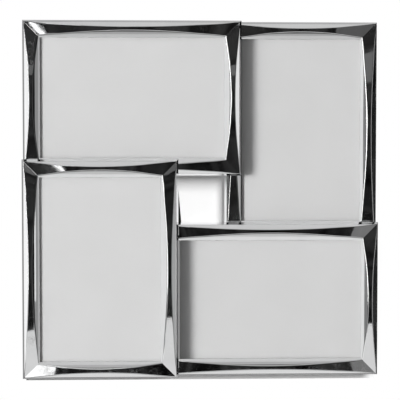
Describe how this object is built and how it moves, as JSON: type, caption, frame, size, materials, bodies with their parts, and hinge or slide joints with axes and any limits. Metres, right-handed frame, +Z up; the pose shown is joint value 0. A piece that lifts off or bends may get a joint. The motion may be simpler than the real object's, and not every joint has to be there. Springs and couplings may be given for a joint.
{
  "type": "collage photo frame",
  "caption": "Pinwheel of chrome photo frames stepped over one another around a square opening, with glass, backboards on turn buttons, a keyhole hanger and a fold-out easel leg.",
  "frame": {"origin": "centre of the bounding box of the whole collage, with its leg folded", "axes": "+X to the right seen from the front, +Y from the front to the wall, +Z up"},
  "size_m": [0.281, 0.0318, 0.281],
  "materials": {
    "chrome_plate": "polished chrome plate on cast zinc, crisp facets",
    "float_glass": "clear float glass, cut edges",
    "grey_card": "plain light grey insert card, smooth matt",
    "black_board": "fibreboard faced with black paper, fine grain",
    "pressed_steel": "pressed steel, nickel wash",
    "zinc_steel": "bright zinc plated steel",
    "black_plastic": "moulded black plastic",
    "bumper_rubber": "soft black rubber"
  },
  "bodies": {
    "frames": {"bottom_pair_screws": "zinc_steel", "hanger_plate": "pressed_steel", "hanger_screws": "zinc_steel", "hinge_board_rivets": "zinc_steel", "hinge_fixed_leaf": "pressed_steel", "hinge_pin": "zinc_steel", "left_pair_screws": "zinc_steel", "lower_left_backboard": "black_board", "lower_left_button_rivets": "zinc_steel", "lower_left_glass": "float_glass", "lower_left_moulding": "chrome_plate", "lower_left_photo_card": "grey_card", "lower_left_wall_spacer": "black_plastic", "lower_right_backboard": "black_board", "lower_right_button_rivets": "zinc_steel", "lower_right_glass": "float_glass", "lower_right_moulding": "chrome_plate", "lower_right_photo_card": "grey_card", "lower_right_wall_spacer": "black_plastic", "right_pair_screws": "zinc_steel", "top_pair_screws": "zinc_steel", "upper_left_backboard": "black_board", "upper_left_button_rivets": "zinc_steel", "upper_left_glass": "float_glass", "upper_left_moulding": "chrome_plate", "upper_left_photo_card": "grey_card", "upper_left_wall_spacer": "black_plastic", "upper_right_backboard": "black_board", "upper_right_button_rivets": "zinc_steel", "upper_right_glass": "float_glass", "upper_right_moulding": "chrome_plate", "upper_right_photo_card": "grey_card", "wall_bumpers": "bumper_rubber"},
    "easel": {"easel_leg": "black_board", "hinge_moving_leaf": "pressed_steel", "hinge_leg_rivets": "zinc_steel"},
    "upper_left_turn_button_1": {"upper_left_turn_button_1": "pressed_steel"},
    "upper_left_turn_button_2": {"upper_left_turn_button_2": "pressed_steel"},
    "upper_left_turn_button_3": {"upper_left_turn_button_3": "pressed_steel"},
    "upper_right_turn_button_1": {"upper_right_turn_button_1": "pressed_steel"},
    "upper_right_turn_button_2": {"upper_right_turn_button_2": "pressed_steel"},
    "upper_right_turn_button_3": {"upper_right_turn_button_3": "pressed_steel"},
    "upper_right_turn_button_4": {"upper_right_turn_button_4": "pressed_steel"},
    "lower_left_turn_button_1": {"lower_left_turn_button_1": "pressed_steel"},
    "lower_left_turn_button_2": {"lower_left_turn_button_2": "pressed_steel"},
    "lower_left_turn_button_3": {"lower_left_turn_button_3": "pressed_steel"},
    "lower_right_turn_button_1": {"lower_right_turn_button_1": "pressed_steel"},
    "lower_right_turn_button_2": {"lower_right_turn_button_2": "pressed_steel"},
    "lower_right_turn_button_3": {"lower_right_turn_button_3": "pressed_steel"}
  },
  "joints": [
    {"name": "easel_hinge", "type": "hinge", "parent": "frames", "child": "easel", "pos_m": [-0.0545, 0.00585, 0.0925], "axis": [1, 0, 0], "range_deg": [0, 35]},
    {"name": "upper_left_button_turn_1", "type": "hinge", "parent": "frames", "child": "upper_left_turn_button_1", "pos_m": [-0.13525, 0.00395, 0.0795], "axis": [0, 1, 0], "range_deg": [0, 90]},
    {"name": "upper_left_button_turn_2", "type": "hinge", "parent": "frames", "child": "upper_left_turn_button_2", "pos_m": [-0.0945, 0.00395, 0.13525], "axis": [0, 1, 0], "range_deg": [0, 90]},
    {"name": "upper_left_button_turn_3", "type": "hinge", "parent": "frames", "child": "upper_left_turn_button_3", "pos_m": [0.0075, 0.00395, 0.02375], "axis": [0, -1, 0], "range_deg": [0, 90]},
    {"name": "upper_right_button_turn_1", "type": "hinge", "parent": "frames", "child": "upper_right_turn_button_1", "pos_m": [0.02375, 0.01395, 0.0095], "axis": [0, 1, 0], "range_deg": [0, 90]},
    {"name": "upper_right_button_turn_2", "type": "hinge", "parent": "frames", "child": "upper_right_turn_button_2", "pos_m": [0.0795, 0.01395, 0.13525], "axis": [0, 1, 0], "range_deg": [0, 90]},
    {"name": "upper_right_button_turn_3", "type": "hinge", "parent": "frames", "child": "upper_right_turn_button_3", "pos_m": [0.13525, 0.01395, 0.0545], "axis": [0, 1, 0], "range_deg": [0, 90]},
    {"name": "upper_right_button_turn_4", "type": "hinge", "parent": "frames", "child": "upper_right_turn_button_4", "pos_m": [0.0795, 0.01395, -0.02625], "axis": [0, 1, 0], "range_deg": [0, 90]},
    {"name": "lower_left_button_turn_1", "type": "hinge", "parent": "frames", "child": "lower_left_turn_button_1", "pos_m": [-0.13525, -0.00605, -0.0095], "axis": [0, 1, 0], "range_deg": [0, 90]},
    {"name": "lower_left_button_turn_2", "type": "hinge", "parent": "frames", "child": "lower_left_turn_button_2", "pos_m": [-0.13525, -0.00605, -0.0995], "axis": [0, 1, 0], "range_deg": [0, 90]},
    {"name": "lower_left_button_turn_3", "type": "hinge", "parent": "frames", "child": "lower_left_turn_button_3", "pos_m": [-0.0795, -0.00605, -0.13525], "axis": [0, 1, 0], "range_deg": [0, 90]},
    {"name": "lower_right_button_turn_1", "type": "hinge", "parent": "frames", "child": "lower_right_turn_button_1", "pos_m": [0.0145, 0.00395, -0.13525], "axis": [0, 1, 0], "range_deg": [0, 90]},
    {"name": "lower_right_button_turn_2", "type": "hinge", "parent": "frames", "child": "lower_right_turn_button_2", "pos_m": [0.0945, 0.00395, -0.13525], "axis": [0, 1, 0], "range_deg": [0, 90]},
    {"name": "lower_right_button_turn_3", "type": "hinge", "parent": "frames", "child": "lower_right_turn_button_3", "pos_m": [0.13525, 0.00395, -0.0795], "axis": [0, 1, 0], "range_deg": [0, 90]}
  ]
}
